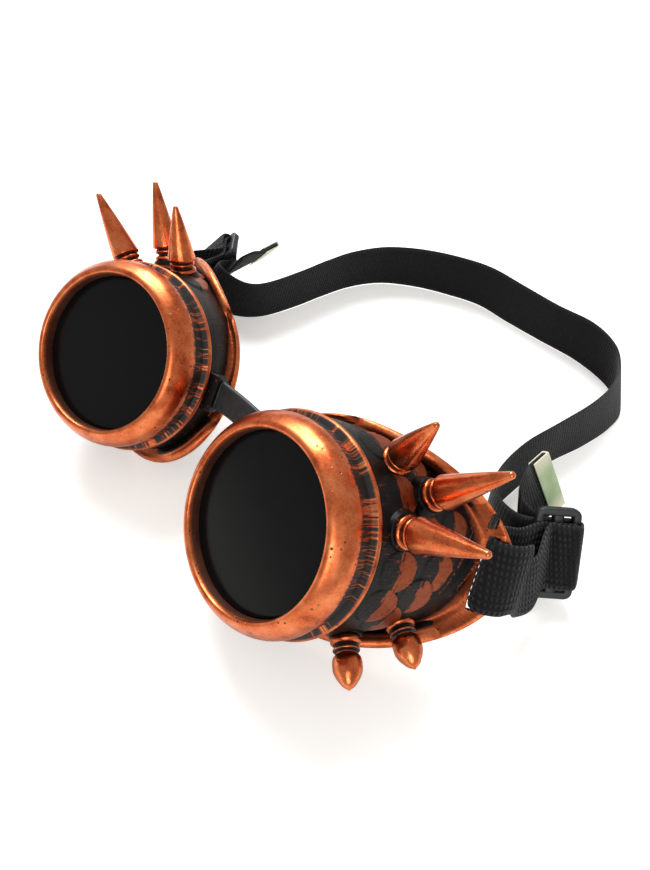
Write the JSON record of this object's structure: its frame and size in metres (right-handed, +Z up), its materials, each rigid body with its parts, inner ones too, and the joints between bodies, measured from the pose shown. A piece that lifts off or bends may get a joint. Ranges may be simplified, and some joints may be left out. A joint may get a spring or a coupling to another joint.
{
  "type": "goggles",
  "caption": "Round steampunk goggles with copper screw-on lens rings, cone spikes, a flexible nose bridge and an elastic strap on slide buckles.",
  "frame": {"origin": "middle of the bounding box's footprint, on the table the goggles lie on", "axes": "+Z up, the lenses face -Y and tip upwards, +X is the wearer's left"},
  "size_m": [0.2154, 0.2124, 0.0746],
  "materials": {
    "cup_moulding": "black moulded plastic with copper rubbed on to the raised edges, worn and satin",
    "copper_plating": "antique copper plating, satin, with black specks and brushed black flanks",
    "smoked_lens": "very dark polished lens",
    "clear_lens": "clear polished lens",
    "soft_rubber": "soft matte rubber",
    "bridge_rubber": "smooth flexible rubber band",
    "spike_metal": "antique copper plated cone, polished sides, dark grooves",
    "plain_steel": "plain zinc plated screw",
    "woven_elastic": "charcoal woven elastic",
    "ribbed_elastic": "charcoal elastic with raised ribs along it",
    "slider_plastic": "dark grey moulded plastic",
    "clip_metal": "folded plated sheet, pale green silver"
  },
  "bodies": {
    "left_cup": {"left_eye_cup": "cup_moulding", "left_spike_top": "spike_metal", "left_spike_rear": "spike_metal", "left_spike_side": "spike_metal", "left_spike_low_front": "spike_metal", "left_spike_low_rear": "spike_metal", "left_spike_screws": "plain_steel", "nose_bridge": "bridge_rubber", "left_strap_loop": "ribbed_elastic", "left_run_strap": "woven_elastic", "right_run_strap": "woven_elastic"},
    "right_cup": {"right_eye_cup": "cup_moulding", "right_spike_top": "spike_metal", "right_spike_rear": "spike_metal", "right_spike_side": "spike_metal", "right_spike_low_front": "spike_metal", "right_spike_low_rear": "spike_metal", "right_spike_screws": "plain_steel", "right_strap_loop": "ribbed_elastic", "right_end_strap": "woven_elastic"},
    "left_lens_pack": {"left_tinted_lens": "smoked_lens", "left_clear_lens": "clear_lens", "left_lens_gasket": "soft_rubber"},
    "left_ring": {"left_retaining_ring": "copper_plating"},
    "left_slider": {"left_strap_slider": "slider_plastic", "left_strap_tail": "woven_elastic", "left_strap_clip": "clip_metal"},
    "right_lens_pack": {"right_tinted_lens": "smoked_lens", "right_clear_lens": "clear_lens", "right_lens_gasket": "soft_rubber"},
    "right_ring": {"right_retaining_ring": "copper_plating"},
    "right_slider": {"right_strap_slider": "slider_plastic", "right_strap_tail": "woven_elastic", "right_strap_clip": "clip_metal"}
  },
  "joints": [
    {"name": "bridge_fold", "type": "hinge", "parent": "left_cup", "child": "right_cup", "pos_m": [0, -0.0642, 0.03658], "axis": [0, 0.6078, 0.7941], "range_deg": [-6, 12], "deforming": ["nose_bridge", "right_run_strap", "right_end_strap"]},
    {"name": "left_ring_travel", "type": "slide", "parent": "left_cup", "child": "left_lens_pack", "axis": [-0.1564, -0.7815, 0.604], "range_m": [0, 0.006]},
    {"name": "left_ring_turn", "type": "hinge", "parent": "left_lens_pack", "child": "left_ring", "pos_m": [0.03805, -0.0886, 0.04433], "axis": [-0.1564, -0.7815, 0.604], "range_deg": [0, 1080]},
    {"name": "left_slider_slide", "type": "slide", "parent": "left_cup", "child": "left_slider", "axis": [0.7211, 0.6801, 0.132], "range_m": [-0.004, 0.003], "deforming": ["left_strap_loop", "left_strap_tail", "left_run_strap"]},
    {"name": "right_ring_travel", "type": "slide", "parent": "right_cup", "child": "right_lens_pack", "axis": [0.1564, -0.7305, 0.6647], "range_m": [0, 0.006]},
    {"name": "right_ring_turn", "type": "hinge", "parent": "right_lens_pack", "child": "right_ring", "pos_m": [-0.03805, -0.0886, 0.04433], "axis": [0.1564, -0.7305, 0.6647], "range_deg": [0, 1080]},
    {"name": "right_slider_slide", "type": "slide", "parent": "right_cup", "child": "right_slider", "axis": [-0.7211, 0.6801, 0.132], "range_m": [-0.004, 0.003], "deforming": ["right_strap_loop", "right_strap_tail", "right_end_strap"]}
  ],
  "couplings": [
    {"joint": "left_ring_travel", "follows": "left_ring_turn", "m_per_rad": 0.00031831},
    {"joint": "right_ring_travel", "follows": "right_ring_turn", "m_per_rad": 0.00031831}
  ]
}
